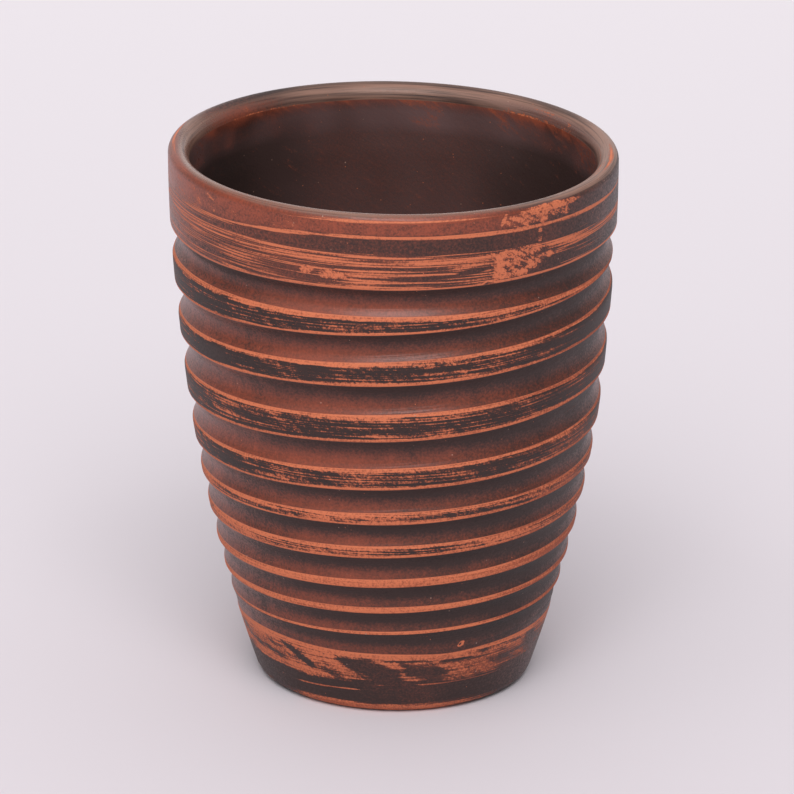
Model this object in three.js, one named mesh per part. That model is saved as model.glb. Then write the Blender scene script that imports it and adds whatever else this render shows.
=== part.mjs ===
// A hand-thrown clay tumbler: a tapering cup with a flat foot, a rounded lip and one
// round-bottomed groove that climbs the outside from the foot band to the rim band.
// Millimetres, +Z up. The origin is the middle of the foot, on the surface it stands on.
// The front of the cup faces -Y.
import * as THREE from 'three';

// Outside of the cup
const FOOT_RADIUS = 24.9;
const RIM_RADIUS = 40.7;
const TAPER_POWER = 2.18; // 1 is a straight cone; higher stands the upper wall more upright
const FOOT_ROUND = 1.5; // radius of the worn edge around the foot

// The groove. Its first and last turns are level rings, and it climbs between them.
const FOOT_BAND = 14.7; // from the foot up to the middle of the lowest ring
const MEAN_PITCH = 7.7; // climb of a turn on average
const PITCH_SHARES = [0.56, 0.68, 0.75, 0.88, 0.87, 1.16, 1.43, 1.27, 1.4]; // of the mean, from the foot up
const RIM_BAND = 16; // from the middle of the highest ring up to the lip
const FRONT = -90; // direction of the front, in degrees from +X towards +Y
const GROOVE_START = -72; // degrees around the cup from its front, where the climb begins and ends
const GROOVE_WIDTH_AT_FOOT = 4.2;
const GROOVE_WIDTH_AT_RIM = 6;
const GROOVE_DEPTH_AT_FOOT = 0.65;
const GROOVE_DEPTH_AT_RIM = 1.5;

// Wall, lip and floor
const WALL_AT_FOOT = 5.2;
const WALL_AT_RIM = 3.8;
const LIP_ROUND_OUTSIDE = 1.4; // radius of the lip's outer edge
const LIP_ROUND_INSIDE = 2.1; // height over which the lip rounds into the inside wall
const FLOOR_THICKNESS = 6;
const FLOOR_FILLET = 10;

// Fineness of the mesh
const COLUMNS = 60;
const GROOVE_STEPS = 4;
const FOOT_STEPS = 3;
const LIP_STEPS = 4;
const INSIDE_STEPS = 8;
const FILLET_STEPS = 5;
const SAME_POINT = 1e-6; // rows closer than this are one row

// Fired clay, smoked dark
const CLAY_COLOUR = 0x5a352a;
const CLAY_ROUGHNESS = 0.55;

const { lerp, mapLinear, clamp, degToRad } = THREE.MathUtils;
const turnCount = PITCH_SHARES.length;
const turnHeights = [FOOT_BAND];
for (const share of PITCH_SHARES) {
  turnHeights.push(turnHeights.at(-1) + share * MEAN_PITCH);
}
const highestRing = turnHeights.at(-1);
const height = highestRing + RIM_BAND;
const climb = new THREE.SplineCurve(turnHeights.map((z, turn) => new THREE.Vector2(turn, z)));

// Radius of the uncut outside at a height.
function outerRadius(z) {
  return RIM_RADIUS - (RIM_RADIUS - FOOT_RADIUS) * (1 - z / height) ** TAPER_POWER;
}

// Radius of the smooth inside wall at a height.
function innerRadius(z) {
  return outerRadius(z) - lerp(WALL_AT_FOOT, WALL_AT_RIM, z / height);
}

// The groove where it passes one angle, a number of turns up from its start.
function grooveAt(turns) {
  const middle = climb.getPoint(clamp(turns / turnCount, 0, 1)).y;
  const rise = mapLinear(middle, FOOT_BAND, highestRing, 0, 1);
  const half = lerp(GROOVE_WIDTH_AT_FOOT, GROOVE_WIDTH_AT_RIM, rise) / 2;
  const depth = lerp(GROOVE_DEPTH_AT_FOOT, GROOVE_DEPTH_AT_RIM, rise);
  return { middle, half, depth, lower: middle - half, upper: middle + half };
}

// Height of the ridge where two turns run into each other.
// While a ring and the turn that leaves it still share one middle, the ridge lies at the ring's outer edge.
function meetingHeight(below, above, sharedEdge) {
  const midpoint = (below.middle + above.middle) / 2;
  const apart = Math.min(1, (above.middle - below.middle) / below.half);
  return lerp(sharedEdge, midpoint, apart);
}

// All turns of the groove at one column, from the foot up, the level rings included.
function groovesAtColumn(column) {
  const grooves = [];
  for (let turn = -1; turn <= turnCount; turn += 1) {
    grooves.push(grooveAt(turn + column / COLUMNS));
  }
  for (let i = 0; i + 1 < grooves.length; i += 1) {
    const below = grooves[i];
    const above = grooves[i + 1];
    if (below.upper > above.lower) {
      const sharedEdge = i === 0 ? below.lower : above.upper;
      const ridge = meetingHeight(below, above, sharedEdge);
      below.upper = ridge;
      above.lower = ridge;
    }
  }
  return grooves;
}

function cutRadius(grooves, z) {
  const cuts = grooves.map(({ middle, half, depth }) => depth * (1 - ((z - middle) / half) ** 2));
  return outerRadius(z) - Math.max(0, ...cuts);
}

// Outside rows of one column, from the lowest groove edge up to the highest.
function grooveRows(column) {
  const grooves = groovesAtColumn(column);
  const rows = [];
  for (const groove of grooves) {
    for (let step = 0; step <= GROOVE_STEPS; step += 1) {
      const z = lerp(groove.lower, groove.upper, step / GROOVE_STEPS);
      rows.push(new THREE.Vector2(cutRadius(grooves, z), z));
    }
  }
  return rows;
}

// Rows that are the same all around: the rounded edge of the foot.
function footRows() {
  const rows = [];
  for (let step = 0; step <= FOOT_STEPS; step += 1) {
    const angle = Math.PI / 2 * step / FOOT_STEPS;
    const z = FOOT_ROUND * (1 - Math.cos(angle));
    rows.push(new THREE.Vector2(outerRadius(z) - FOOT_ROUND * (1 - Math.sin(angle)), z));
  }
  return rows;
}

// Rows that are the same all around: over the lip, down the inside and in along the floor's fillet.
function lipAndInsideRows() {
  const rows = [];
  const outerBase = height - LIP_ROUND_OUTSIDE;
  const innerBase = height - LIP_ROUND_INSIDE;
  const crest = outerRadius(outerBase) - LIP_ROUND_OUTSIDE;
  for (let step = 0; step <= LIP_STEPS; step += 1) {
    const angle = Math.PI / 2 * step / LIP_STEPS;
    const z = outerBase + LIP_ROUND_OUTSIDE * Math.sin(angle);
    rows.push(new THREE.Vector2(crest + LIP_ROUND_OUTSIDE * Math.cos(angle), z));
  }
  const innerWidth = crest - innerRadius(innerBase);
  for (let step = 1; step <= LIP_STEPS; step += 1) {
    const angle = Math.PI / 2 * step / LIP_STEPS;
    const z = innerBase + LIP_ROUND_INSIDE * Math.cos(angle);
    rows.push(new THREE.Vector2(crest - innerWidth * Math.sin(angle), z));
  }
  const filletTop = FLOOR_THICKNESS + FLOOR_FILLET;
  for (let step = 1; step < INSIDE_STEPS; step += 1) {
    const z = lerp(innerBase, filletTop, step / INSIDE_STEPS);
    rows.push(new THREE.Vector2(innerRadius(z), z));
  }
  const corner = new THREE.Vector2(innerRadius(FLOOR_THICKNESS), FLOOR_THICKNESS);
  const fillet = new THREE.QuadraticBezierCurve(
    new THREE.Vector2(innerRadius(filletTop), filletTop),
    corner,
    new THREE.Vector2(corner.x - FLOOR_FILLET, FLOOR_THICKNESS),
  );
  rows.push(...fillet.getPoints(FILLET_STEPS));
  return rows;
}

// One closed skin. Each column lists vertex numbers from the middle of the foot to the middle of the floor.
function tumblerGeometry() {
  const positions = [];
  const addVertex = (r, z, angle) => {
    positions.push(r * Math.cos(angle), r * Math.sin(angle), z);
    return positions.length / 3 - 1;
  };
  const footMiddle = addVertex(0, 0, 0);
  const floorMiddle = addVertex(0, FLOOR_THICKNESS, 0);
  const columnVertices = (column) => {
    const angle = degToRad(FRONT + GROOVE_START) + 2 * Math.PI * column / COLUMNS;
    let previous = null;
    let last = -1;
    const addRow = (row) => {
      // Rows that fall together, as at a ridge, share one vertex.
      if (previous === null || previous.distanceTo(row) > SAME_POINT) {
        last = addVertex(row.x, row.y, angle);
      }
      previous = row;
      return last;
    };
    const foot = footRows().map(addRow);
    const grooved = grooveRows(column).map(addRow);
    const inside = lipAndInsideRows().map(addRow);
    return { foot, grooved, inside };
  };
  const columns = [];
  for (let column = 0; column < COLUMNS; column += 1) {
    columns.push(columnVertices(column));
  }
  // Once around, each turn has become the one above it, and the last has closed on the highest ring.
  const first = columns[0];
  const rowsPerTurn = GROOVE_STEPS + 1;
  const climbed = first.grooved.slice(rowsPerTurn);
  const closed = Array(rowsPerTurn).fill(first.grooved.at(-1));
  columns.push({ foot: first.foot, grooved: [...climbed, ...closed], inside: first.inside });

  const triangles = [];
  const addTriangle = (a, b, c) => {
    if (a !== b && b !== c && c !== a) {
      triangles.push(a, b, c);
    }
  };
  const skin = ({ foot, grooved, inside }) => [footMiddle, ...foot, ...grooved, ...inside, floorMiddle];
  for (let column = 0; column < COLUMNS; column += 1) {
    const here = skin(columns[column]);
    const next = skin(columns[column + 1]);
    for (let row = 0; row + 1 < here.length; row += 1) {
      addTriangle(here[row], next[row], next[row + 1]);
      addTriangle(here[row], next[row + 1], here[row + 1]);
    }
  }
  const geometry = new THREE.BufferGeometry();
  geometry.setAttribute('position', new THREE.Float32BufferAttribute(positions, 3));
  geometry.setIndex(triangles);
  geometry.computeVertexNormals();
  return geometry;
}

const clay = new THREE.MeshStandardMaterial({
  color: CLAY_COLOUR,
  roughness: CLAY_ROUGHNESS,
  metalness: 0,
});
const tumbler = new THREE.Mesh(tumblerGeometry(), clay);
tumbler.name = 'tumbler';

const object = new THREE.Group();
object.add(tumbler);

export default object;
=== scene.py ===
# Looks of a hand-thrown clay tumbler: smoked dark clay, rubbed through to orange on its raised edges.
import math
from collections import namedtuple

import bpy
import numpy as np
from mathutils import Matrix, Vector, noise


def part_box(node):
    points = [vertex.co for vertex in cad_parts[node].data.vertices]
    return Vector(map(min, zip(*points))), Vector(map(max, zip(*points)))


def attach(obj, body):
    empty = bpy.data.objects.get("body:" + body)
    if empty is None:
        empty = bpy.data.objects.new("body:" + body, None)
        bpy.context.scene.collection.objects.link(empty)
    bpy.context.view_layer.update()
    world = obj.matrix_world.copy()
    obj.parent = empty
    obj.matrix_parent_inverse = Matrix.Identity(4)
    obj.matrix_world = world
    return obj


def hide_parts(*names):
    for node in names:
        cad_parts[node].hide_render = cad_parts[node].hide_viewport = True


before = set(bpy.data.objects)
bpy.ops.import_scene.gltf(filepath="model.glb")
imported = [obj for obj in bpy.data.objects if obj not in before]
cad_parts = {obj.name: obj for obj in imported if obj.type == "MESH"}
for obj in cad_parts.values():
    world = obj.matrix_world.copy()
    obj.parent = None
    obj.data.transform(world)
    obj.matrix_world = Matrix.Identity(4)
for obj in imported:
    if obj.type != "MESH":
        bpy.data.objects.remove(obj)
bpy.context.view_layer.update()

low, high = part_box("tumbler")

# Sizes of the cup, in millimetres
MM = 0.001
HEIGHT = (high[2] - low[2]) / MM
RIM_RADIUS = (high[0] - low[0]) / 2 / MM
FOOT_RADIUS = 24.9
TAPER_POWER = 2.18
FOOT_ROUND = 1.5
WALL_AT_FOOT = 5.2
WALL_AT_RIM = 3.8
LIP_ROUND_OUTSIDE = 1.4
LIP_ROUND_INSIDE = 2.8
FLOOR_THICKNESS = 6.0
FLOOR_FILLET = 10.0

# The groove, turn by turn from the foot up
TURN_HEIGHTS = (14.7, 19.0, 24.2, 30.1, 37.0, 43.7, 52.6, 63.4, 73.2, 84.0)
GROOVE_WIDTHS = (4.4, 4.2, 4.3, 4.7, 4.9, 5.1, 5.8, 6.1, 5.9, 5.6)
GROOVE_DEPTHS = (0.2, 0.58, 0.74, 0.84, 0.92, 1.0, 1.11, 1.25, 1.37, 1.5)
GROOVE_START = math.radians(-72)
TURNS = len(TURN_HEIGHTS) - 1

# Rubbing has rounded the upper edge of each land
WORN_HEIGHT = 1.1
WORN_DEPTH_AT_FOOT = 0.12
WORN_DEPTH_AT_RIM = 0.42

# Unevenness of handwork
LEAN = -1.14
LIP_TILT = math.radians(-0.31)
LIP_SLOPE = math.radians(0.6)
GROOVE_TILT = 0.42
GROOVE_WANDER = 0.14
SLOW_WANDERS_PER_TURN = 3.1
QUICK_WANDERS_PER_TURN = 11.3
QUICK_SHARE = 0.6
LOWER_EDGE_ROW = 1.0
UPPER_EDGE_ROW = 7.0
OUT_OF_ROUND = 0.12
OUT_OF_ROUND_TURN = 0.7
BOW = 0.18
BOW_HEIGHT = 48
BOW_HALF = 22
WAIST = 0.26
WAIST_HEIGHT = 68
WAIST_HALF = 14
INSIDE_RING_BELOW_LIP = 8.6
INSIDE_RING_DEPTH = 0.35
INSIDE_RING_HALF = 1.6
THROWING_RING_DEPTH = 0.1
THROWING_RING_PITCH = 7.5
THROWING_RINGS_BELOW_LIP = 2 * INSIDE_RING_BELOW_LIP
THROWING_RING_FADE = HEIGHT / 4

# Fineness of the mesh
COLUMNS = 288
FOOT_ROUND_STEPS = 4
FOOT_STEPS = 30
GROOVE_STEPS = 13
LAND_FRACTIONS = (0.05, 0.25, 0.5, 0.7, 0.85, 0.95, 1.0)
RIM_STEPS = 26
LIP_STEPS_OUTSIDE = 6
LIP_STEPS_INSIDE = 10
INSIDE_STEPS = 36
FILLET_STEPS = 10
SAME_ROW = 1e-5
LEAST_ROW_STEP = 0.05
COLUMNS_PER_MEASURE = 24

# A distance at which an edge no longer shows
FAR = 50.0


# Shape of the cup

def outer_radius(z):
    waist = WAIST * np.exp(-((z - WAIST_HEIGHT) / WAIST_HALF) ** 2)
    return RIM_RADIUS - (RIM_RADIUS - FOOT_RADIUS) * (1 - z / HEIGHT) ** TAPER_POWER - waist


def inner_radius(z):
    wall = WALL_AT_FOOT + (WALL_AT_RIM - WALL_AT_FOOT) * z / HEIGHT
    below_lip = HEIGHT - z
    ring = INSIDE_RING_DEPTH * np.exp(-((below_lip - INSIDE_RING_BELOW_LIP) / INSIDE_RING_HALF) ** 2)
    throwing = THROWING_RING_DEPTH * np.sin(2 * math.pi * z / THROWING_RING_PITCH)
    fade = np.clip((below_lip - THROWING_RINGS_BELOW_LIP) / THROWING_RING_FADE, 0, 1)
    return outer_radius(z) - wall + ring + throwing * fade


QUARTER = math.pi / 2
LIP_BASE_OUTSIDE = HEIGHT - LIP_ROUND_OUTSIDE
LIP_BASE_INSIDE = HEIGHT - LIP_ROUND_INSIDE
LIP_CREST = outer_radius(LIP_BASE_OUTSIDE) - LIP_ROUND_OUTSIDE


def held(value):
    """The value, held between 0 and 1."""
    return min(max(value, 0.0), 1.0)


def over_lip(radius, z):
    """Way over the lip: 0 where its outer rounding begins, 1 on the crest, 2 where the inner one ends."""
    if radius > LIP_CREST:
        return math.asin(held((z - LIP_BASE_OUTSIDE) / LIP_ROUND_OUTSIDE)) / QUARTER
    return 1 + math.acos(held((z - LIP_BASE_INSIDE) / LIP_ROUND_INSIDE)) / QUARTER


def smooth(start, end, value):
    """Eased step from 0 at the start to 1 at the end, which may be the lower of the two."""
    f = held((value - start) / (end - start))
    return f * f * (3 - 2 * f)


def bump_at(value, middle, half):
    """Smooth hump, 1 in its middle."""
    return math.exp(-((value - middle) / half) ** 2)


def spline(values, position):
    """Smooth curve through evenly spaced values, level beyond its ends."""
    position = min(max(position, 0.0), len(values) - 1.0)
    start = min(int(position), len(values) - 2)
    before, first, second, after = (values[min(max(start + k, 0), len(values) - 1)] for k in (-1, 0, 1, 2))
    f = position - start
    slope_first = (second - before) / 2
    slope_second = (after - first) / 2
    cubic = 2 * first - 2 * second + slope_first + slope_second
    square = -3 * first + 3 * second - 2 * slope_first - slope_second
    return ((cubic * f + square) * f + slope_first) * f + first


def steps_to(start, end, steps):
    """Evenly spaced values from the start, which is left out, to the end."""
    return np.linspace(start, end, steps + 1)[1:]


def from_front(angle):
    """Degrees around the cup from its front, from -180 to 180."""
    return (math.degrees(angle) + 180) % 360 - 180


def wander(turns, row):
    """Slow unevenness along the groove, none on the level rings."""
    slow = noise.noise((turns * SLOW_WANDERS_PER_TURN, row, 0))
    quick = noise.noise((turns * QUICK_WANDERS_PER_TURN, row, 4))
    return held(turns) * held(TURNS - turns) * GROOVE_WANDER * (slow + QUICK_SHARE * quick)


class Groove:
    """The groove where it passes one angle."""

    def __init__(self, turns, angle):
        middle = spline(TURN_HEIGHTS, turns) + GROOVE_TILT * math.sin(angle)
        half = spline(GROOVE_WIDTHS, turns) / 2
        lower_off, upper_off = self.strayed(turns, from_front(angle))
        self.turns = turns
        self.lower = middle - half + lower_off + wander(turns, LOWER_EDGE_ROW)
        self.upper = middle + half + upper_off + wander(turns, UPPER_EDGE_ROW)
        self.span = (self.lower, self.upper)
        self.middle = (self.lower + self.upper) / 2
        self.half = (self.upper - self.lower) / 2
        self.depth = spline(GROOVE_DEPTHS, turns)
        self.worn = WORN_DEPTH_AT_FOOT + (WORN_DEPTH_AT_RIM - WORN_DEPTH_AT_FOOT) * held(turns / TURNS)

    @staticmethod
    def strayed(turns, phi):
        """How far the lower and the upper edge stray from an even groove, in millimetres."""
        high_up = smooth(2.5, 4.5, turns)
        lowest = smooth(1.2, 0.3, turns)
        lower = 0.26 * high_up * bump_at(phi, 5, 30) - 0.18 * (1 - high_up) * bump_at(phi, 42, 28)
        lower += lowest * (0.5 + 0.6 * bump_at(phi, -52, 24) - 0.45 * bump_at(phi, 20, 12))
        upper = 0.18 * bump_at(phi, 62, 20) - 0.3 * bump_at(phi, -55, 25) - 0.1
        upper = smooth(3.5, 6, turns) * upper + 0.08 * (1 - high_up) - 0.2 * lowest
        return lower, upper

    def cut(self, z):
        """Depth below the uncut outside, over the groove and the worn shoulder under it."""
        across = (z - self.middle) / self.half
        inside = self.depth * (1 - across ** 2) + self.worn * ((1 - across) / 2) ** 2
        below = np.clip(1 - (self.middle - self.half - z) / WORN_HEIGHT, 0, 1)
        shoulder = self.worn * below ** 2
        return np.where(across > 1, 0, np.where(across < -1, shoulder, inside))


def grooves_at(column, angle):
    """All turns at one column from the foot up. Turns that run into each other meet in a ridge."""
    grooves = [Groove(turn + column / COLUMNS, angle) for turn in range(-1, TURNS + 1)]
    for i, (below, above) in enumerate(zip(grooves, grooves[1:])):
        if below.upper > above.lower:
            shared_edge = below.lower if i == 0 else above.upper
            apart = min(1, (above.middle - below.middle) / below.half)
            ridge = shared_edge + ((below.middle + above.middle) / 2 - shared_edge) * apart
            below.upper = ridge
            above.lower = ridge
    return grooves


class Column:
    """Rows up one line of the cup, with what the surface between them is."""

    def __init__(self, index):
        self.index = index
        self.angle = GROOVE_START + 2 * math.pi * index / COLUMNS
        self.radius = [0.0, FOOT_RADIUS - FOOT_ROUND]
        self.height = [0.0, 0.0]
        self.strips = [dict(kind="base")]
        self.build_outside()
        self.build_lip()
        self.build_inside()

    def strip(self, radii, heights, **words):
        for radius, height in zip(radii, heights):
            self.radius.append(radius)
            self.height.append(height)
            self.strips.append(words)

    def build_outside(self):
        grooves = grooves_at(self.index, self.angle)

        def surface(z):
            return outer_radius(z) - np.max([g.cut(z) for g in grooves], axis=0)

        def sunk(z):
            return float(outer_radius(z) - surface(np.array([z]))[0])

        foot = dict(kind="foot", top=grooves[0].lower, low=0.0, turns=-1.0)
        turned = steps_to(0, QUARTER, FOOT_ROUND_STEPS)
        z = FOOT_ROUND * (1 - np.cos(turned))
        self.strip(outer_radius(z) - FOOT_ROUND * (1 - np.sin(turned)), z, **foot)
        z = steps_to(FOOT_ROUND, grooves[0].lower, FOOT_STEPS)
        self.strip(surface(z), z, **foot)
        for i, groove in enumerate(grooves):
            z = steps_to(groove.lower, groove.upper, GROOVE_STEPS)
            words = dict(top=groove.lower, low=groove.upper, span=groove.span, turns=groove.turns)
            words["lost_top"] = sunk(groove.lower) / groove.depth
            words["lost_low"] = sunk(groove.upper) / groove.depth
            self.strip(surface(z), z, kind="groove", **words)
            if i + 1 < len(grooves):
                above = grooves[i + 1]
                z = groove.upper + (above.lower - groove.upper) * np.array(LAND_FRACTIONS)
                self.strip(surface(z), z, kind="land", top=above.lower, low=groove.upper, turns=groove.turns)
        z = steps_to(grooves[-1].upper, LIP_BASE_OUTSIDE, RIM_STEPS)
        self.strip(surface(z), z, kind="rim", top=FAR + HEIGHT, low=grooves[-1].upper, turns=float(TURNS))

    def build_lip(self):
        turned = steps_to(0, QUARTER, LIP_STEPS_OUTSIDE)
        radii = LIP_CREST + LIP_ROUND_OUTSIDE * np.cos(turned)
        self.strip(radii, LIP_BASE_OUTSIDE + LIP_ROUND_OUTSIDE * np.sin(turned), kind="lip")
        turned = steps_to(0, QUARTER, LIP_STEPS_INSIDE)
        radii = LIP_CREST - (LIP_CREST - inner_radius(LIP_BASE_INSIDE)) * np.sin(turned)
        self.strip(radii, LIP_BASE_INSIDE + LIP_ROUND_INSIDE * np.cos(turned), kind="lip")

    def build_inside(self):
        fillet_top = FLOOR_THICKNESS + FLOOR_FILLET
        z = steps_to(LIP_BASE_INSIDE, fillet_top, INSIDE_STEPS)
        self.strip(inner_radius(z), z, kind="inside")
        f = steps_to(0, 1, FILLET_STEPS)
        top = inner_radius(fillet_top)
        corner = inner_radius(FLOOR_THICKNESS)
        flat = corner - FLOOR_FILLET
        radii = (1 - f) ** 2 * top + 2 * f * (1 - f) * corner + f ** 2 * flat
        heights = FLOOR_THICKNESS + FLOOR_FILLET * (1 - f) ** 2
        self.strip(radii, heights, kind="inside")
        self.strip([0.0], [FLOOR_THICKNESS], kind="inside")


# Where the surface is rubbed, how dark it is smoked or painted in shade, and where a painted highlight lies

# Coverage of the lands by rubbing, turn by turn from the foot up
LAND_WEAR = (1.0, 1.0, 0.95, 0.55, 0.5, 0.4, 0.42, 0.38, 0.4, 0.38)
SLOW_STREAKS_PER_TURN = 9.0
QUICK_STREAKS_PER_TURN = 31.0

# Strokes of rubbing: degrees around, millimetres up, half sizes in millimetres and the slant up to the
# right in degrees. A positive strength is rubbed bare, a negative one is dark left standing.
Stroke = namedtuple("Stroke", "phi z half_length half_width slant strength")
RIM_STROKES = (
    # Under the lip
    Stroke(44, 98.9, 7.4, 0.7, -1, 0.74),
    Stroke(40.8, 97.8, 1.9, 1.3, 75, 0.7),
    Stroke(47, 97.6, 3.8, 1.1, 0, 0.5),
    Stroke(34, 97.5, 4.6, 1.5, 0, 0.55),
    Stroke(37.3, 94.7, 0.7, 0.7, 0, 0.32),
    Stroke(-84, 94.0, 3.4, 1.6, 84, 0.5),
    # Above the highest ring
    Stroke(33.5, 90.2, 5.4, 2.5, 2, 0.52),
    Stroke(34, 91.9, 7.0, 0.6, -2, 0.6),
    Stroke(27.4, 89.6, 2.3, 1.0, 85, 0.68),
    Stroke(31.5, 88.2, 4.2, 0.7, 0, 0.62),
    Stroke(36.2, 89.2, 1.7, 0.8, 58, 0.66),
    Stroke(41.2, 90.2, 2.2, 0.9, 8, 0.64),
    Stroke(-22.5, 89.2, 1.8, 0.6, 0, 0.6),
    Stroke(-15, 88.9, 2.3, 0.85, 0, 0.64),
    Stroke(43.5, 88.5, 3.0, 0.8, 5, -0.6),
)
FOOT_STROKES = (
    # Rubbed bare
    Stroke(-54, 7.3, 8.0, 0.7, -2, 0.66),
    Stroke(-60, 11.6, 8.5, 1.1, 0, 0.68),
    Stroke(-31, 11.5, 4.0, 0.9, -12, 0.7),
    Stroke(-20.2, 9.2, 4.2, 0.65, -30, 0.72),
    Stroke(-22, 7.3, 3.0, 0.35, -2, 0.56),
    Stroke(-5, 6.1, 1.0, 0.35, 0, 0.5),
    Stroke(-3, 10.9, 3.8, 0.5, -24, 0.72),
    Stroke(4, 8.5, 0.9, 0.45, -60, 0.66),
    Stroke(2.5, 10.3, 1.7, 0.6, -40, 0.64),
    Stroke(6.5, 7.5, 3.2, 0.55, -6, 0.7),
    Stroke(14, 10.7, 4.5, 0.5, -2, 0.62),
    Stroke(23, 9.6, 4.0, 1.2, -4, 0.52),
    Stroke(34.5, 8.5, 3.2, 1.5, -8, 0.64),
    Stroke(34, 12.2, 11.0, 0.7, 0, 0.64),
    Stroke(31, 6.7, 8.0, 0.5, 0, 0.42),
    Stroke(52, 10.8, 3.8, 0.7, -4, 0.62),
    Stroke(56, 8.4, 4.2, 0.6, -10, 0.58),
    Stroke(57, 11.0, 1.6, 0.6, -48, 0.56),
    # Dark left standing
    Stroke(-38.2, 10.3, 3.4, 0.6, -31, -0.9),
    Stroke(-27, 8.2, 4.4, 0.7, -14, -0.34),
    Stroke(-34, 8.9, 1.6, 0.5, -28, -0.5),
    Stroke(-56, 8.9, 6.0, 0.55, -4, -0.36),
    Stroke(-48, 10.4, 2.4, 0.4, -8, -0.3),
    Stroke(-10.5, 9.7, 4.8, 1.05, -17, -0.95),
    Stroke(-14.5, 11.0, 2.6, 0.6, -14, -0.7),
    Stroke(-2.5, 7.6, 2.2, 1.0, -10, -0.7),
    Stroke(13, 8.9, 3.8, 0.8, -4, -0.7),
    Stroke(43, 9.2, 2.6, 0.8, -8, -0.3),
    Stroke(62, 10.3, 2.4, 1.4, -20, -0.35),
)
# Strokes finer than the mesh, which the material draws
FINE_STROKES = (
    Stroke(17, 99.2, 8.5, 0.13, 0, 0.52),
    Stroke(28.7, 98.1, 1.5, 0.45, 63, 0.66),
    Stroke(39.7, 94.4, 2.4, 0.55, 90, 0.45),
    Stroke(18.5, 90.4, 4.2, 0.3, 4, 0.62),
    Stroke(20.5, 89.6, 3.0, 0.4, 4, -0.5),
    Stroke(9, 11.75, 2.0, 0.28, 0, -0.6),
    Stroke(24, 11.0, 3.2, 0.3, 0, -0.6),
    # A chip in the lowest ring
    Stroke(25, 14.25, 0.8, 0.5, 45, 1.3),
    Stroke(24.6, 14.2, 0.3, 0.2, 45, -2.0),
)
# Where a stroke ends and where it is full, as squares of the share of its half sizes
STROKE_END = 2.0
STROKE_FULL = 0.15

# Soft patches: degrees around and half width in degrees, then the place across the surface and half width
# there, and the strength. Across, the lands count turns of the groove, a groove the share of its own width,
# the lip the way over it and the rim millimetres up.
Patch = namedtuple("Patch", "phi half_around place half_across strength")
GROOVE_SMOKE = (Patch(50, 18, 0.25, 0.2, 0.1),)
LAND_DARK = (Patch(18, 18, 3.25, 0.4, 0.1), Patch(-12, 14, 4.17, 0.3, 0.08))
RIM_NICK = (Patch(24.7, 0.9, 87.0, 1.0, 0.7),)
# A painted highlight on the front of the lip
LIP_PAINTED_HIGHLIGHT = (Patch(-12, 25, 0.8, 0.15, 0.3),)
LIP_BARE = (
    # Rubbed streaks on both sides and a line in front
    Patch(-88, 28, 1.1, 0.5, 0.2),
    Patch(83, 14, 0.95, 0.2, 0.6),
    Patch(75, 18, 1.35, 0.35, 0.2),
    Patch(-3, 30, 0.17, 0.14, 0.45),
)

# Heights and sizes of what is painted, in millimetres. A pair says where it starts and where it is full.
FOOT_BOTTOM = (2.3, 1.5)
FOOT_RUBBED = (6.1, 7.3)
FOOT_UNDER_EDGE = (10.8, 11.8)
FOOT_LINE_LEFT = 4.15
FOOT_LINE_RIGHT = 6.12
FOOT_LINE_RISE_PER_DEGREE = 0.0236
FOOT_LINE_THICKNESS = 0.5
LEAST_THICKNESS = 0.01
LAND_TOP_REACH = 2.2
RIM_LOWEST = (89.6, 88.6)
RIM_ZONE_TOP = 93.1
RIM_LINE = 94.75
INSIDE_BAND = (90.0, 92.5)
INSIDE_RED_LINE = (95.9, 96.5)

# Angles of what is painted, in degrees around from the front
BETWEEN_FOOT_LINES = -7
FOOT_LINE_LEFT_START = -40.8
SIDE = 88
BACK_STARTS = 115
BACK = 165

# Wear of a surface that nothing has rubbed
UNTOUCHED = -0.3

# Millimetres that an edge loses where another turn has sunk it by a groove's depth, and those that a top
# edge can lose before it shows
EDGE_LOSS = 1.6
TOP_EDGE_KEPT = 0.9

# Fineness of the turned lines where it isn't 1, and shifts that keep their pattern from repeating
RIM_LINE_FINENESS = 1.15
LIP_LINE_FINENESS = 2.4
TURN_SHIFT = 3.7
LIP_SHIFT = 9
INSIDE_SHIFT = 11

# Sizes of cloudy unevenness, in millimetres
CLOUD_SIZE = 16
SMALL_CLOUD_SIZE = 6
SMALL_CLOUD_SHARE = 0.5
BLOTCH_SIZE = 5
RIM_CLOUD_SIZE = 2.2


def before_back(phi):
    """1 around the front, fading to 0 before the back, where the angles meet."""
    return smooth(BACK, BACK_STARTS, abs(phi))


def beside(phi, start, full):
    """Eased step around the cup from 0 at one angle to 1 at another, gone before the back."""
    return smooth(start, full, phi) * before_back(phi)


def clouds(x, y, z, size, seed):
    return noise.noise((x / size, y / size, z / size + seed))


def inside_stroke(stroke, phi, z, radius):
    """1 in the middle of a stroke, 0 outside it."""
    around = math.radians(phi - stroke.phi) * radius
    up = z - stroke.z
    slant = math.radians(stroke.slant)
    along = (around * math.cos(slant) + up * math.sin(slant)) / stroke.half_length
    over = (up * math.cos(slant) - around * math.sin(slant)) / stroke.half_width
    return smooth(STROKE_END, STROKE_FULL, along ** 2 + over ** 2)


def patched(patches, phi, place):
    """Strength of all patches together at one point."""
    strength = 0.0
    for patch in patches:
        around = bump_at(phi, patch.phi, patch.half_around)
        strength += patch.strength * around * bump_at(place, patch.place, patch.half_across)
    return strength


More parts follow.
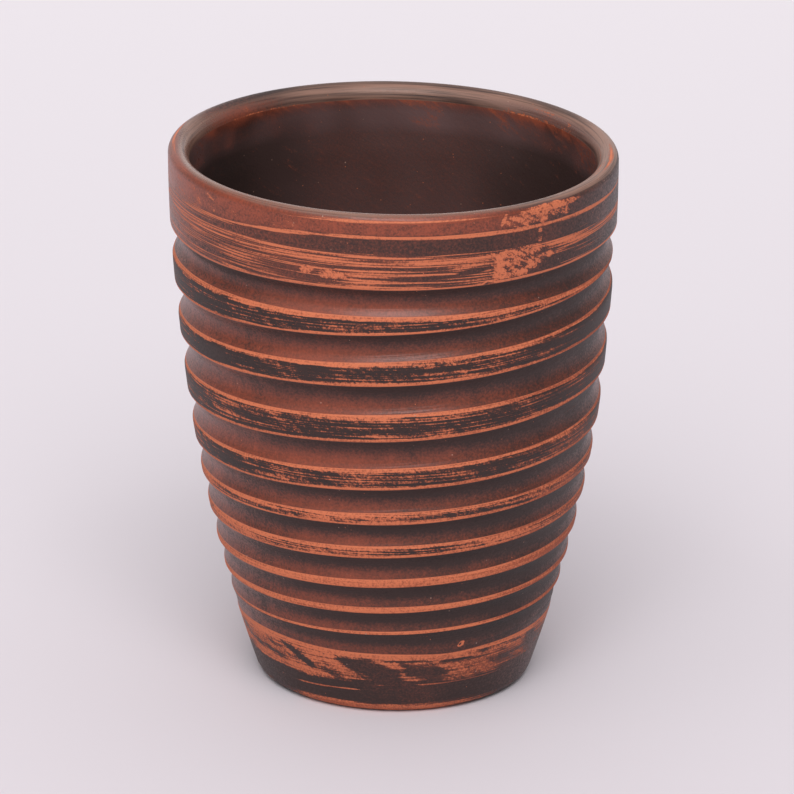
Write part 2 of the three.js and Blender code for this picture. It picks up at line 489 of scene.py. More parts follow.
class Paint:
    """What the surface is like at one point, as numbers that the material reads."""

    NAMES = (
        "across", "edge_top", "edge_low", "mark", "wear", "smoke_and_shade",
        "brushed", "coat_and_painted_light", "soft", "drip", "grain",
    )

    def __init__(self, strip, phi, radius, z):
        angle = math.radians(phi)
        x = radius * math.sin(angle)
        y = -radius * math.cos(angle)
        # Millimetres up to the edge above, down to the edge below, across the turning and from a turned line
        self.edge_top = strip.get("top", FAR + z) - z
        self.edge_low = z - strip.get("low", z - FAR)
        self.across = z
        self.mark = FAR
        # How much is rubbed bare, and how dark the rest is from smoke and painted shade: brown at 0, smoked
        # at 1, sooty at 2
        self.wear = 0.0
        self.smoke_and_shade = 0.8
        # How far the marks are brushed instead of turned, and how strong coat (with a painted highlight on
        # the lip and painted shade inside), softness, drips and grain are
        self.brushed = 0.0
        self.coat_and_painted_light = 0.0
        self.soft = 0.0
        self.drip = 0.0
        self.grain = 1.5
        cloud = clouds(x, y, z, CLOUD_SIZE, 0) + SMALL_CLOUD_SHARE * clouds(x, y, z, SMALL_CLOUD_SIZE, 9)
        getattr(self, strip["kind"])(strip, phi, x, y, z, cloud)
        self.fit_edges(phi, strip.get("turns", 0))

    def numbers(self):
        return [getattr(self, name) for name in self.NAMES]

    def fit_edges(self, phi, turns):
        """Thins out the rubbed edges at the sides of the cup."""
        at_side = bump_at(abs(phi), SIDE, 25)
        # Top edges are thinner to the right and half-way up too, and most low ones are fuller to the right
        top_width = 1 - 0.25 * beside(phi, 20, 45) - 0.35 * at_side
        top_width *= 1 - 0.2 * bump_at(turns, 4.5, 1.5)
        low_width = 1 + 0.45 * beside(phi, -15, 15) * smooth(8.0, 7.5, turns) - 0.3 * at_side
        self.edge_top = max(self.edge_top, 0) / top_width + min(self.edge_top, 0)
        self.edge_low = max(self.edge_low, 0) / low_width + min(self.edge_low, 0)

    def add_strokes(self, strokes, phi, z, radius):
        for stroke in strokes:
            covered = inside_stroke(stroke, phi, z, radius)
            if stroke.strength > 0:
                self.wear = max(self.wear, stroke.strength * covered)
            else:
                self.wear += stroke.strength * covered
            self.brushed = max(self.brushed, covered)

    def base(self, strip, phi, x, y, z, cloud):
        self.wear = 0.4 + 0.3 * cloud
        self.brushed = 1.0

    def foot(self, strip, phi, x, y, z, cloud):
        right = beside(phi, 12, 36)
        not_left = beside(phi, -16, -4)
        far_left = beside(phi, -44, -62)
        middle = bump_at(phi, -3, 10)
        bottom = smooth(*FOOT_BOTTOM, z)
        rubbed = smooth(*FOOT_RUBBED, z + 0.7 * cloud)
        under_edge = smooth(*FOOT_UNDER_EDGE, z)
        # The edge above is twice as wide, and there is none below
        self.edge_low = FAR
        self.edge_top *= 0.5
        self.smoke_and_shade = 0.9 + 0.25 * cloud
        self.soft = (0.6 + 0.4 * right - 0.2 * far_left) * (1 - 0.7 * under_edge)
        self.brushed = 0.6 - 0.4 * not_left
        self.wear = 0.48 + 0.3 * cloud - 0.3 * middle - 0.02 * not_left + 0.12 * far_left
        self.wear = 0.03 + rubbed * (self.wear + 0.12 * under_edge)
        # The line around the bottom thins out on both sides
        sides = max(right, beside(phi, -34, -52))
        self.wear = max(self.wear, bottom * (0.66 + 0.25 * cloud - 0.36 * sides))
        # The strokes, a little evened out
        self.add_strokes(FOOT_STROKES, phi, z, math.hypot(x, y))
        self.wear += 0.38 * rubbed * (0.46 - self.wear)
        self.brushed = min(self.brushed, 0.4)
        # Two thin turned lines near the bottom
        if phi < BETWEEN_FOOT_LINES:
            line = FOOT_LINE_LEFT + FOOT_LINE_RISE_PER_DEGREE * (phi - FOOT_LINE_LEFT_START)
            length = smooth(-43, -38, phi) * smooth(-12, -17, phi)
        else:
            line = FOOT_LINE_RIGHT
            length = smooth(8, 12, phi) * (1 - 0.6 * smooth(16, 24, phi)) * smooth(48, 38, phi)
        self.mark = (z - line) / max(FOOT_LINE_THICKNESS * length, LEAST_THICKNESS)

    def groove(self, strip, phi, x, y, z, cloud):
        low_end, high_end = strip["span"]
        up = (z - low_end) / (high_end - low_end)
        turns = strip["turns"]
        self.edge_top += min(0, TOP_EDGE_KEPT - EDGE_LOSS * strip["lost_top"])
        self.edge_low -= EDGE_LOSS * strip["lost_low"]
        self.across = -self.edge_low + TURN_SHIFT * turns
        right = beside(phi, -60, 65)
        left = beside(phi, -20, -60)
        lower_turns = smooth(6, 1, turns)
        middle_turns = bump_at(turns, 4.5, 2)
        highest = smooth(8.3, 8.9, turns)
        # Brown at the bottom of the groove, black under the edge above it from soot and painted shade where
        # the upper wall faces down, darker to the right
        soot_and_painted_shade = smooth(0.15, 0.95 - 0.2 * lower_turns, up) * (0.75 + 0.15 * middle_turns - 0.15 * left)
        glowing = left * smooth(0.2, 0.0, up)
        self.smoke_and_shade = 0.06 + soot_and_painted_shade + 0.52 * right + 0.22 * cloud
        self.smoke_and_shade += 0.22 * lower_turns - 0.16 * glowing + patched(GROOVE_SMOKE, phi, up)
        # To the left it is darker low down and browner high up, and dark all the way up in the highest ring
        self.smoke_and_shade += left * (0.36 - 0.75 * up)
        self.smoke_and_shade += highest * (left * (0.1 + 0.5 * smooth(0.5, 0.85, up)) - 0.1 * bump_at(phi, -5, 20))
        self.drip = 0.5 + 0.6 * left
        self.grain = 1.1 + 0.7 * left + 0.3 * right
        self.soft = beside(phi, 15, 60)
        self.wear = UNTOUCHED

    def land(self, strip, phi, x, y, z, cloud):
        turns = strip["turns"]
        left = beside(phi, -8, -35)
        right = beside(phi, 0, 40)
        far_right = beside(phi, 42, 65)
        slow = noise.noise((turns * SLOW_STREAKS_PER_TURN, 3.0, 0.0))
        quick = noise.noise((turns * QUICK_STREAKS_PER_TURN, 5.0, 0.0))
        near_top = max(0.0, 1 - max(self.edge_top, 0.0) / LAND_TOP_REACH)
        self.across = z - strip["low"] + TURN_SHIFT * turns
        # The highest land has a wider top edge
        self.edge_top /= 1 + 0.3 * smooth(7.6, 8.2, turns)
        self.wear = spline(LAND_WEAR, turns) + 0.14 * (slow + QUICK_SHARE * quick) + 0.08 * near_top ** 2
        # On both sides the upper lands are less rubbed, and to the left a middle one a little more
        self.wear += left * (0.03 * bump_at(turns, 4.0, 0.8) - 0.07 * smooth(4.6, 5.6, turns))
        self.wear -= smooth(5, 6.5, turns) * (0.04 * right + 0.16 * far_right)
        self.wear -= patched(LAND_DARK, phi, turns)
        self.brushed = 0.3
        self.smoke_and_shade = 1.3 + 0.15 * cloud
        self.soft = 0.3 + 0.7 * beside(phi, 15, 60)

    def rim(self, strip, phi, x, y, z, cloud):
        left = beside(phi, -28, -52)
        right = beside(phi, 36, 52)
        # A turned line between a streaked zone and the brown band under the lip
        line = RIM_LINE + 1.4 * beside(phi, -52, -12) - 0.3 * beside(phi, 0, 75)
        thickness = 0.5 + 0.6 * smooth(-48, -28, phi) * smooth(75, 58, phi)
        thickness *= 1 - 0.9 * bump_at(phi, -70, 16)
        self.mark = (z - line) / thickness
        zone_top = RIM_ZONE_TOP - 0.7 * right
        lower = smooth(zone_top + 0.3, zone_top - 0.3, z)
        upper = smooth(line + 0.1, line + 0.6, z)
        fine = smooth(zone_top - 1.2, zone_top - 2.2, z)
        lowest = smooth(*RIM_LOWEST, z)
        streaks = 0.55 - 0.04 * fine - 0.3 * right * fine + 0.02 * right - 0.1 * left
        streaks += 0.08 * bump_at(phi, -8, 8) - (0.06 * fine + 0.02 * lowest) * bump_at(phi, -38, 22)
        streaks -= 0.05 * lowest * (1 - right)
        between = (1 - lower) * (1 - upper) * (0.05 + 0.34 * left)
        self.wear = lower * streaks + upper * (0.26 + 0.08 * left - 0.14 * right) + between + 0.1 * cloud
        self.across = RIM_LINE_FINENESS * z
        self.brushed = 0.7 * upper
        self.add_strokes(RIM_STROKES, phi, z, math.hypot(x, y))
        self.edge_low -= patched(RIM_NICK, phi, z)
        # Browner under the lip and to the left
        brown = upper * (1 - beside(phi, 20, 44))
        self.smoke_and_shade = 0.8 - 0.55 * brown - 0.15 * left * (1 - upper) - 0.1 * left + 0.2 * cloud
        self.smoke_and_shade -= 0.12 * brown * bump_at(phi, -18, 16) + 0.24 * (1 - upper) * bump_at(phi, -28, 16)
        self.smoke_and_shade -= 0.2 * beside(phi, -52, -66)
        self.smoke_and_shade += 0.35 * brown * clouds(x, y, z, RIM_CLOUD_SIZE, 5)
        self.grain = 1.5 + 0.8 * brown + left * (1 - upper)

    def lip(self, strip, phi, x, y, z, cloud):
        radius = math.hypot(x, y)
        way = over_lip(radius, z)
        behind = smooth(110, 150, abs(phi))
        dark = smooth(20, 44, phi)
        # The pale coat, partly a painted highlight on the lip's up-facing top, starts low, but higher just
        # right of the front and highest on the left
        coat_start = 0.25 + 0.75 * bump_at(phi, -SIDE, 28) + 0.25 * bump_at(phi, 20, 20)
        coated = smooth(coat_start, coat_start + 0.35, way)
        outer = smooth(1.1, 0.7, way)
        self.across = LIP_LINE_FINENESS * way + LIP_SHIFT
        self.soft = 0.4
        self.smoke_and_shade = 0.2 + 0.6 * max(dark, behind) + 0.35 * coated + 0.4 * cloud
        # Lighter on the sides, in a band in front and on the inner rounding behind: painted highlight on the
        # coat
        self.coat_and_painted_light = 0.74 + 0.35 * cloud - 0.6 * bump_at(phi, -132, 26) + behind * (0.1 - 0.75 * outer)
        self.coat_and_painted_light += 0.32 * max(smooth(40, 75, -phi), smooth(28, 50, phi)) + patched(LIP_PAINTED_HIGHLIGHT, phi, way)
        # The crest is dark behind, and the coat thins out towards the inside
        self.coat_and_painted_light -= 0.75 * smooth(100, 125, abs(phi)) * bump_at(way, 1.1, 0.2)
        self.coat_and_painted_light *= coated * (1 - 0.25 * smooth(1.5, 1.8, way))
        # Behind, a line and flecks along the inner edge are rubbed too
        flecks = smooth(1.35, 1.65, way) * max(bump_at(phi, 125, 26), bump_at(phi, -132, 17))
        self.wear = 0.18 * (1 - coated) + 0.1 * cloud + patched(LIP_BARE, phi, way)
        self.wear += 0.3 * behind * smooth(1.85, 2.0, way) + 0.34 * flecks
        self.smoke_and_shade -= 0.6 * flecks
        self.brushed = 0.6 * flecks
        if way < 1:
            self.add_strokes(RIM_STROKES, phi, z, radius)

    def inside(self, strip, phi, x, y, z, cloud):
        behind = smooth(95, 125, abs(phi))
        right = smooth(50, 90, phi) * smooth(165, 125, phi)
        left = smooth(-60, -100, phi) * smooth(-165, -120, phi)
        band = smooth(*INSIDE_BAND, z)
        red_line = behind * smooth(*INSIDE_RED_LINE, z)
        blotch = smooth(-0.1, 0.5, clouds(x, y, z, BLOTCH_SIZE, 3))
        self.across = z + INSIDE_SHIFT
        self.brushed = 1.0
        self.soft = 2.0
        self.grain = 0.8
        # A blotchy band with a red line under the lip, and below it a wall that is darker at the sides, a
        # painted shade where less light reaches
        self.wear = band * (0.04 + 0.16 * right + 0.3 * cloud) - 0.2 * (1 - band) + 0.34 * red_line
        self.smoke_and_shade = 0.85 + (0.75 * left + 0.45 * right - 0.1) * (1 - band)
        self.smoke_and_shade -= 0.55 * band * blotch * (0.3 + 0.7 * max(left, right)) + 0.45 * red_line
        # The pale coat is thinner on the side walls inside: painted shade
        self.coat_and_painted_light = 0.24 - 0.3 * left - 0.22 * right + 0.1 * cloud
        self.coat_and_painted_light += band * (0.4 + 0.3 * cloud) - 0.4 * red_line


# The mesh

def bent(radius, angle, z):
    """A point of the cup with its lean, tilt and slight out-of-roundness, in metres."""
    up = z / HEIGHT
    over_ring = max(z - TURN_HEIGHTS[-1], 0) / (HEIGHT - TURN_HEIGHTS[-1])
    radius = radius * (1 + OUT_OF_ROUND / RIM_RADIUS * up * math.sin(2 * angle + OUT_OF_ROUND_TURN))
    x = radius * math.sin(angle)
    y = -radius * math.cos(angle)
    z += x * math.tan(LIP_TILT) * up - y * math.tan(LIP_SLOPE) * over_ring
    bow = BOW * bump_at(z, BOW_HEIGHT, BOW_HALF)
    return ((x + LEAN * up + bow) * MM, y * MM, z * MM)


def numbered_points(columns):
    """Points of the mesh, and for each column the number of the point in each of its rows."""
    points = []
    numbers = []
    for column in columns[:-1]:
        numbers.append([])
        before = None
        for row, here in enumerate(zip(column.radius, column.height)):
            if before and abs(here[0] - before[0]) + abs(here[1] - before[1]) < SAME_ROW:
                numbers[-1].append(numbers[-1][-1])
            elif here[0] == 0.0 and column.index:
                numbers[-1].append(numbers[0][row])
            else:
                numbers[-1].append(len(points))
                points.append(bent(here[0], column.angle, here[1]))
            before = here
    # Once around, each turn has become the one above it
    kinds = [strip["kind"] for strip in columns[0].strips]
    per_turn = GROOVE_STEPS + len(LAND_FRACTIONS)
    first_groove = kinds.index("groove")
    first_rim = kinds.index("rim")
    last = list(numbers[0])
    for row in range(first_groove, first_rim + 1):
        last[row] = numbers[0][min(row + per_turn, first_rim)]
    numbers.append(last)
    return points, numbers


def lengths_up(columns):
    """Share of the way from the middle of the foot to the middle of the floor inside, row by row."""
    rows = len(columns[0].height)
    lengths = np.zeros(rows)
    for row in range(1, rows):
        steps = [math.hypot(c.radius[row] - c.radius[row - 1], c.height[row] - c.height[row - 1])
                 for c in columns[::COLUMNS_PER_MEASURE]]
        lengths[row] = lengths[row - 1] + max(max(steps), LEAST_ROW_STEP)
    return lengths / lengths[-1]


def paint_column(column):
    """For each strip of a column, the painted values at its lower and upper row."""
    phi = from_front(column.angle)
    painted = []
    for i, strip in enumerate(column.strips):
        ends = []
        for row in (i, i + 1):
            point = Paint(strip, phi, float(column.radius[row]), float(column.height[row]))
            ends.append(point.numbers())
        painted.append(ends)
    return painted


def build_mesh():
    columns = [Column(index) for index in range(COLUMNS + 1)]
    points, numbers = numbered_points(columns)
    painted = [paint_column(column) for column in columns]
    lengths = lengths_up(columns)
    faces = []
    values = []
    spread = []
    for j in range(COLUMNS):
        for i in range(len(lengths) - 1):
            corners = [(j, i, 0), (j + 1, i, 0), (j + 1, i + 1, 1), (j, i + 1, 1)]
            kept = []
            for corner in corners:
                number = numbers[corner[0]][corner[1]]
                if number not in [k[0] for k in kept]:
                    kept.append((number, corner))
            if len(kept) < 3:
                continue
            faces.append([k[0] for k in kept])
            for _, (column, row, end) in kept:
                values.append(painted[column][i][end])
                spread.append((column / COLUMNS, lengths[row]))
    mesh = bpy.data.meshes.new("tumbler_surface")
    mesh.from_pydata(points, [], faces)
    for k, name in enumerate(Paint.NAMES):
        layer = mesh.attributes.new(name, "FLOAT", "CORNER")
        layer.data.foreach_set("value", [value[k] for value in values])
    unwrapped = mesh.uv_layers.new(name="OFBake")
    unwrapped.data.foreach_set("uv", [number for pair in spread for number in pair])
    mesh.shade_smooth()
    return mesh


# Materials

class Graph:
    """Short forms for adding shader nodes to a material or a world."""

    def __init__(self, owner, shader):
        owner.use_nodes = True
        self.tree = owner.node_tree
        self.shader = self.tree.nodes[shader]

    def node(self, kind, inputs=(), **settings):
        node = self.tree.nodes.new(kind)
        for name, value in settings.items():
            setattr(node, name, value)
        for socket, value in dict(inputs).items():
            self.feed(node.inputs[socket], value)
        return node

    def feed(self, socket, value):
        if isinstance(value, bpy.types.NodeSocket):
            self.tree.links.new(value, socket)
        else:
            socket.default_value = value

    def shade(self, socket, value):
        self.feed(self.shader.inputs[socket], value)

    def math(self, operation, first, second=0.0, third=0.0):
        return self.node("ShaderNodeMath", {0: first, 1: second, 2: third}, operation=operation).outputs[0]

    def multiply_add(self, value, factor, added):
        return self.math("MULTIPLY_ADD", value, factor, added)

    def attribute(self, name):
        return self.node("ShaderNodeAttribute", attribute_name=name).outputs["Fac"]

    def step(self, value, start, end):
        """Eased step from 0 at the start to 1 at the end."""
        mapped = self.node("ShaderNodeMapRange", {"Value": value, "From Min": start, "From Max": end},
                           interpolation_type="SMOOTHSTEP")
        return mapped.outputs["Result"]

    def mix(self, factor, first, second, data_type="FLOAT"):
        mix = self.node("ShaderNodeMix", data_type=data_type)
        for socket, value in zip(("Factor", "A", "B"), (factor, first, second)):
            self.feed(mix.inputs[socket], value)
        return mix.outputs["Result"]

    def blend(self, factor, first, second):
        return self.mix(factor, first, second, "RGBA")


# Colours of the cup
SMOKED = (0.036, 0.018, 0.0155, 1)
SOOT = (0.014, 0.009, 0.008, 1)
BROWN = (0.300, 0.066, 0.033, 1)
# The pale coat of the lip, lightened to carry a painted highlight
ASH_AND_HIGHLIGHT = (0.268, 0.143, 0.104, 1)
ASH_INSIDE = (0.175, 0.100, 0.098, 1)
ORANGE = (0.600, 0.166, 0.0756, 1)
ORANGE_DEEP = (0.300, 0.070, 0.034, 1)
GRIT = (0.420, 0.250, 0.190, 1)

# Marks in the surface: fineness per millimetre along three lengths, detail and roughness
Marks = namedtuple("Marks", "fineness detail roughness")
BROAD_LINES = Marks((0.05, 0.05, 0.9), 2, 0.5)
FINE_LINES = Marks((0.06, 0.06, 3.8), 2, 0.6)
SPECKLE = Marks((2.4, 2.4, 2.4), 3, 0.65)
BRUSH = Marks((0.2, 0.4, 1.0), 5, 0.65)
UNEVEN = Marks((0.16, 0.16, 0.16), 2, 0.5)
DRIPS = Marks((0.55, 0.55, 0.14), 3, 0.55)
FINE_LINE_SHARE = 0.78
BROAD_LINE_SHARE = 0.22
BRUSH_RUN = 0.8
BRUSH_DROP = 0.6
SPECKLE_SHARE = 0.2
BRUSHED_SPECKLE_SHARE = 0.15

# The surface is bare where the marks rise above a level that sinks as the wear grows
LEVEL = 0.70
LEVEL_DROP = 0.42
LEAST_SOFTNESS = 0.02
SOFTNESS = 0.06
FINE_STROKE_DEPTH = 2.5
FINE_STROKE_END = 1.25
FINE_STROKE_FULL = 0.6

# Rubbed edges and turned lines, in millimetres
TOP_EDGE_WIDTH = 0.6
TOP_EDGE_FADE = 0.16
LOW_EDGE_WIDTH = 0.4
LOW_EDGE_FADE = 0.1
EDGE_SOFTNESS = 0.08
MARK_HALF = 0.3
MARK_SOFTNESS = 0.06
FRAYING = 3.0
UNEVENNESS = 1.2

# Where smoke and painted shade, coat with its painted highlight, and fresh clay start to show and where they
# are full
SMOKE_DARK = (-0.35, 1.0)
SMOKE_BLACK = (1.1, 1.9)
SMOKE_ROUGH = (0.4, 1.2)
COAT_SHOWN = (0.25, 0.6)
FRESH_SHOWN = (-0.02, 0.07)
DRIP_STRENGTH = 0.7
CLAY_SPECKLE_SHARE = 0.55
CLAY_LINE_SHARE = 0.45
BRIGHT_START = 0.33
BRIGHT_START_SOFT = 0.12
BRIGHT_WIDTH = 0.18

# Grit: fineness per millimetre, size as a share of a cell and colour
GRITS = ((0.6, 0.1, GRIT), (0.9, 0.12, ORANGE))
GRIT_DRAWN = (0.8, 1.0)

# Gloss and relief
SPECULAR = 0.37
ROUGHNESS = 0.24
SPECKLE_ROUGHNESS = 0.2
ASH_ROUGHNESS = -0.1
SOOT_ROUGHNESS = 0.2
BARE_ROUGHNESS = 0.2
BARE_SINKING = 0.35
BUMP_STRENGTH = 0.35
BUMP_HEIGHT = 0.0002


class Clay(Graph):
    """The cup's surface, from its marks to its colour, gloss and relief."""

    def __init__(self, material):
        super().__init__(material, "Principled BSDF")
        place = self.node("ShaderNodeTexCoord").outputs["Object"]
        in_millimetres = self.node("ShaderNodeVectorMath", {0: place, "Scale": 1 / MM}, operation="SCALE")
        self.spot = in_millimetres.outputs["Vector"]
        axes = self.node("ShaderNodeSeparateXYZ", {"Vector": self.spot}).outputs
        self.axes = [axes[name] for name in "XYZ"]
        self.make_marks()
        self.rub()
        self.rub_edges()
        skin = self.smoked_skin()
        self.shade("Base Color", self.with_grit(self.blend(self.bare, skin, self.bare_clay())))
        self.finish()

    def at(self, lengths, fineness):
        """Coordinates made of three lengths, each with its own fineness per millimetre."""
        scaled = [self.math("MULTIPLY", length, scale) for length, scale in zip(lengths, fineness)]
        return self.node("ShaderNodeCombineXYZ", dict(zip("XYZ", scaled))).outputs["Vector"]

    def marks(self, kind, *lengths):
        inputs = {"Vector": self.at(lengths, kind.fineness), "Scale": 1.0,
                  "Detail": kind.detail, "Roughness": kind.roughness}
        return self.node("ShaderNodeTexNoise", inputs).outputs["Fac"]

    def make_marks(self):
        """Marks drawn out along the turning, marks of a slanting brush and marks with no direction."""
        x, y, z = self.axes
        across = self.attribute("across")
        broad_lines = self.marks(BROAD_LINES, x, y, across)
        fine_lines = self.marks(FINE_LINES, x, y, across)
        self.speckle = self.marks(SPECKLE, x, y, z)
        along = self.multiply_add(z, -BRUSH_DROP, self.math("MULTIPLY", x, BRUSH_RUN))
        over = self.multiply_add(z, BRUSH_RUN, self.math("MULTIPLY", x, BRUSH_DROP))
        brush = self.marks(BRUSH, along, y, over)
        self.uneven = self.marks(UNEVEN, x, y, z)
        self.drips = self.marks(DRIPS, x, y, z)
        broad_part = self.math("MULTIPLY", broad_lines, BROAD_LINE_SHARE)
        self.turned = self.multiply_add(fine_lines, FINE_LINE_SHARE, broad_part)
        self.brushed = self.attribute("brushed")
        drawn = self.mix(self.brushed, self.turned, brush)
        grainy = self.multiply_add(self.brushed, BRUSHED_SPECKLE_SHARE, SPECKLE_SHARE)
        self.pattern = self.mix(grainy, drawn, self.speckle)

    def fine_stroke(self, stroke):
        """1 inside a slanted oval on the outside of the cup, 0 away from it."""
        angle = math.radians(stroke.phi)
        centre = Vector(bent(outer_radius(stroke.z), angle, stroke.z)) / MM
        slanted = (0, -math.radians(stroke.slant), angle)
        half_sizes = (stroke.half_length, FINE_STROKE_DEPTH, stroke.half_width)
        inputs = {"Vector": self.spot, "Location": centre, "Rotation": slanted, "Scale": half_sizes}
        local = self.node("ShaderNodeMapping", inputs, vector_type="TEXTURE").outputs["Vector"]
        away = self.node("ShaderNodeVectorMath", {0: local}, operation="LENGTH").outputs["Value"]
        return self.step(away, FINE_STROKE_END, FINE_STROKE_FULL)

    def rub(self):
        """Streaks and strokes that are rubbed bare."""
        wear = self.attribute("wear")
        for stroke in FINE_STROKES:
            covered = self.fine_stroke(stroke)
            if stroke.strength > 0:
                wear = self.math("MAXIMUM", wear, self.math("MULTIPLY", covered, stroke.strength))
            else:
                wear = self.multiply_add(covered, stroke.strength, wear)
        level = self.multiply_add(wear, -LEVEL_DROP, LEVEL)
        self.above = self.math("SUBTRACT", self.pattern, level)
        self.soft = self.attribute("soft")
        softness = self.multiply_add(self.soft, SOFTNESS, LEAST_SOFTNESS)
        self.rubbed = self.step(self.above, self.math("MULTIPLY", softness, -1.0), softness)

    def rub_edges(self):
        """Both edges of each land and the turned lines, and with the streaks all that is bare."""
        frayed = self.multiply_add(self.pattern, FRAYING, -FRAYING / 2)
        slow = self.multiply_add(self.uneven, UNEVENNESS, 1 - UNEVENNESS / 2)
        ragged = self.math("ADD", slow, frayed)

        def within(distance, width, softness):
            reach = self.math("MULTIPLY", ragged, width)
            return self.step(self.math("SUBTRACT", reach, distance), -softness, softness)

        def edge_line(name, width, fade):
            distance = self.attribute(name)
            inner = within(distance, width, EDGE_SOFTNESS)
            return self.math("MULTIPLY", self.step(distance, -fade, -fade / 4), inner)

        top_line = edge_line("edge_top", TOP_EDGE_WIDTH, TOP_EDGE_FADE)
        low_line = edge_line("edge_low", LOW_EDGE_WIDTH, LOW_EDGE_FADE)
        from_mark = self.math("ABSOLUTE", self.attribute("mark"))
        mark_line = within(from_mark, MARK_HALF, MARK_SOFTNESS)
        self.edges = self.math("MAXIMUM", self.math("MAXIMUM", top_line, low_line), mark_line)
        self.bare = self.math("MAXIMUM", self.edges, self.rubbed)

    def smoked_skin(self):
        """Smoked skin with painted shade, redder where the smoke was thin, under a pale coat that on the lip
        is partly a painted highlight.
        """
        dripped = self.math("MULTIPLY", self.math("SUBTRACT", self.drips, 0.5), self.attribute("drip"))
        grain = self.math("MULTIPLY", self.math("SUBTRACT", self.speckle, 0.5), self.attribute("grain"))
        uneven_smoke = self.multiply_add(dripped, DRIP_STRENGTH, grain)
        self.smoke_and_shade = self.math("ADD", self.attribute("smoke_and_shade"), uneven_smoke)
        skin = self.blend(self.step(self.smoke_and_shade, *SMOKE_DARK), BROWN, SMOKED)
        skin = self.blend(self.step(self.smoke_and_shade, *SMOKE_BLACK), skin, SOOT)
        self.coat_and_painted_light = self.attribute("coat_and_painted_light")
        shown = self.math("MAXIMUM", self.brushed, self.step(self.turned, *COAT_SHOWN))
        coated = self.math("MULTIPLY", self.coat_and_painted_light, shown)
        return self.blend(coated, skin, self.blend(self.brushed, ASH_AND_HIGHLIGHT, ASH_INSIDE))

    def bare_clay(self):
        """Orange clay, deeper where it is barely rubbed through."""
        fresh = self.math("MAXIMUM", self.edges, self.step(self.above, *FRESH_SHOWN))
        start = self.multiply_add(self.soft, BRIGHT_START_SOFT, BRIGHT_START)
        line_part = self.math("MULTIPLY", self.turned, CLAY_LINE_SHARE)
        streaky = self.multiply_add(self.speckle, CLAY_SPECKLE_SHARE, line_part)
        bright = self.step(streaky, start, self.math("ADD", start, BRIGHT_WIDTH))
        return self.blend(self.math("MULTIPLY", fresh, bright), ORANGE_DEEP, ORANGE)

    def with_grit(self, colour):
        """The colour with pinpoints of pale grit."""
        for fineness, size, grit in GRITS:
            spread = self.at(self.axes, (fineness,) * 3)
            cells = self.node("ShaderNodeTexVoronoi", {"Vector": spread, "Scale": 1.0})
            draw = self.node("ShaderNodeSeparateColor", {"Color": cells.outputs["Color"]}).outputs[0]
            near = self.step(cells.outputs["Distance"], size, size / 3)
            colour = self.blend(self.math("MULTIPLY", near, self.step(draw, *GRIT_DRAWN)), colour, grit)
        return colour

    def finish(self):
        """Gloss and fine relief."""
        plain = self.multiply_add(self.speckle, SPECKLE_ROUGHNESS, ROUGHNESS)
        plain = self.multiply_add(self.coat_and_painted_light, ASH_ROUGHNESS, plain)
        sooty = self.multiply_add(self.step(self.smoke_and_shade, *SMOKE_ROUGH), SOOT_ROUGHNESS, plain)
        self.shade("Roughness", self.multiply_add(self.bare, BARE_ROUGHNESS, sooty))
        self.shade("Specular IOR Level", SPECULAR)
        height = self.math("SUBTRACT", self.pattern, self.math("MULTIPLY", self.bare, BARE_SINKING))
        inputs = {"Strength": BUMP_STRENGTH, "Distance": BUMP_HEIGHT, "Height": height}
        self.shade("Normal", self.node("ShaderNodeBump", inputs).outputs["Normal"])


def clay_material():
    material = bpy.data.materials.new("smoked_clay")
    Clay(material)
    return material


# Floor colours near and far: the floor is painted lighter towards the back, a painted light gradient
FLOOR_NEAR = (0.66, 0.61, 0.65, 1)
FLOOR_FAR = (0.92, 0.87, 0.91, 1)
FLOOR_BLEND = (-0.2, 0.9)
FLOOR_ROUGHNESS = 0.8


def floor_material():
    material = bpy.data.materials.new("pale_floor")
    g = Graph(material, "Principled BSDF")
    place = g.node("ShaderNodeTexCoord").outputs["Object"]
    back = g.node("ShaderNodeSeparateXYZ", {"Vector": place}).outputs["Y"]
    g.shade("Base Color", g.blend(g.step(back, *FLOOR_BLEND), FLOOR_NEAR, FLOOR_FAR))
    g.shade("Roughness", FLOOR_ROUGHNESS)
    return material


# The piece

tumbler = bpy.data.objects.new("tumbler_visual", build_mesh())
bpy.context.scene.collection.objects.link(tumbler)
tumbler.data.materials.append(clay_material())
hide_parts("tumbler")
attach(tumbler, "root")

# The floor, in metres
FLOOR_HALF = 3.0
FLOOR_DROP = 0.0001
floor_mesh = bpy.data.meshes.new("floor")
floor_corners = [(-1, -1), (1, -1), (1, 1), (-1, 1)]
floor_points = [(FLOOR_HALF * a, FLOOR_HALF * b, -FLOOR_DROP) for a, b in floor_corners]
floor_mesh.from_pydata(floor_points, [], [(0, 1, 2, 3)])
floor = bpy.data.objects.new("floor", floor_mesh)
bpy.context.scene.collection.objects.link(floor)
floor_mesh.materials.append(floor_material())


# Light and camera

def aim(origin, target):
    """Rotation that points an object's -Z from the origin at the target."""
    return (Vector(target) - Vector(origin)).to_track_quat("-Z", "Y").to_matrix().to_4x4()


def add_lamp(name, place, size, watts):
    lamp = bpy.data.lights.new(name, "AREA")
    lamp.size = size
    lamp.energy = watts
    holder = bpy.data.objects.new(name, lamp)
    holder.matrix_world = Matrix.Translation(place) @ aim(place, (0, 0, HEIGHT * MM / 2))
    bpy.context.scene.collection.objects.link(holder)


add_lamp("key_lamp", place=(-1.4, -1.2, 1.7), size=2.4, watts=11)
add_lamp("top_lamp", place=(0.05, -1.6, 2.0), size=1.6, watts=40)

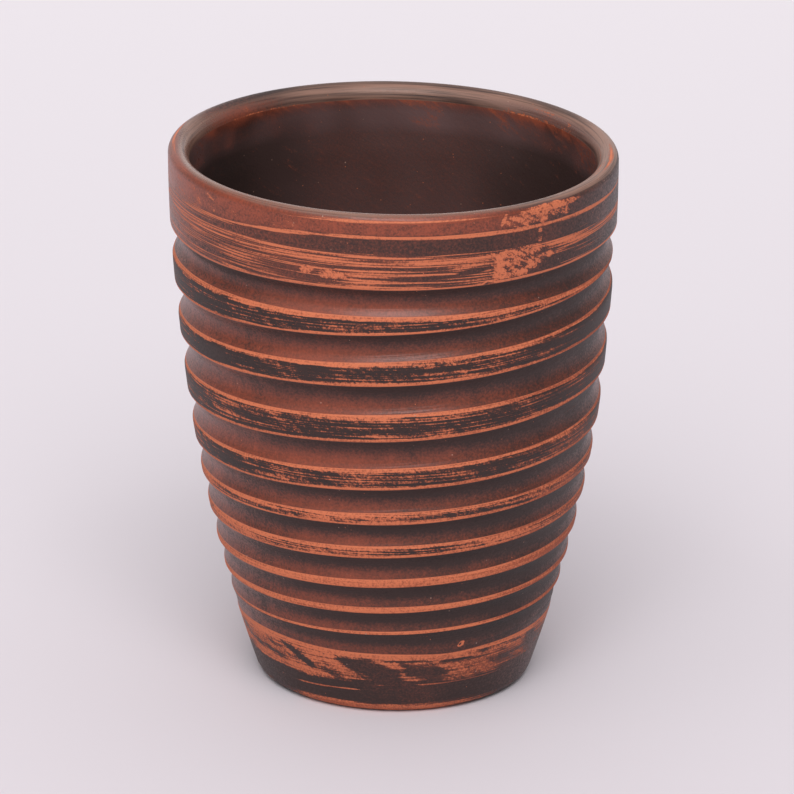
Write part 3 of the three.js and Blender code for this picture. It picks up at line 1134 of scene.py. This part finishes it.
LIGHT_COLOUR = (1, 0.985, 1, 1)
LIGHT_IN_FRONT = 0.45
LIGHT_BESIDE = 0.22
LIGHT_BEHIND = 1.05
LIGHT_ABOVE = 1.0
BEHIND_POWER = 2.5
ABOVE_START = 0.55
ABOVE_FULL = 0.95


def studio_world():
    """A room that is bright above and behind the cup and darkest beside it."""
    world = bpy.data.worlds.new("studio")
    g = Graph(world, "Background")
    direction = g.node("ShaderNodeTexCoord").outputs["Generated"]
    axes = g.node("ShaderNodeSeparateXYZ", {"Vector": direction}).outputs
    behind = g.math("POWER", g.math("MAXIMUM", axes["Y"], 0.0), BEHIND_POWER)
    in_front = g.math("MAXIMUM", g.math("MULTIPLY", axes["Y"], -1.0), 0.0)
    around = g.multiply_add(behind, LIGHT_BEHIND - LIGHT_BESIDE, LIGHT_BESIDE)
    around = g.multiply_add(in_front, LIGHT_IN_FRONT - LIGHT_BESIDE, around)
    inputs = {"Value": axes["Z"], "From Min": ABOVE_START, "From Max": ABOVE_FULL,
              "To Min": around, "To Max": LIGHT_ABOVE}
    strength = g.node("ShaderNodeMapRange", inputs, interpolation_type="SMOOTHSTEP")
    g.shade("Strength", strength.outputs["Result"])
    g.shade("Color", LIGHT_COLOUR)
    return world


bpy.context.scene.world = studio_world()

CAMERA_DISTANCE = 1.3
CAMERA_RISE = math.radians(20.33)
CAMERA_ROLL = math.radians(0.69)
CAMERA_TARGET = Vector((0.00006, 0, 0.05185))
SENSOR_WIDTH = 36
FOCAL_PIXELS = 7127
PHOTO_PIXELS = 794
camera_data = bpy.data.cameras.new("camera")
camera_data.sensor_width = SENSOR_WIDTH
camera_data.lens = FOCAL_PIXELS * SENSOR_WIDTH / PHOTO_PIXELS
camera = bpy.data.objects.new("camera", camera_data)
offset = Vector((0, -math.cos(CAMERA_RISE), math.sin(CAMERA_RISE))) * CAMERA_DISTANCE
place = CAMERA_TARGET + offset
roll = Matrix.Rotation(CAMERA_ROLL, 4, "Z")
camera.matrix_world = Matrix.Translation(place) @ aim(place, CAMERA_TARGET) @ roll
bpy.context.scene.collection.objects.link(camera)
bpy.context.scene.camera = camera
bpy.context.scene.view_settings.view_transform = "Standard"
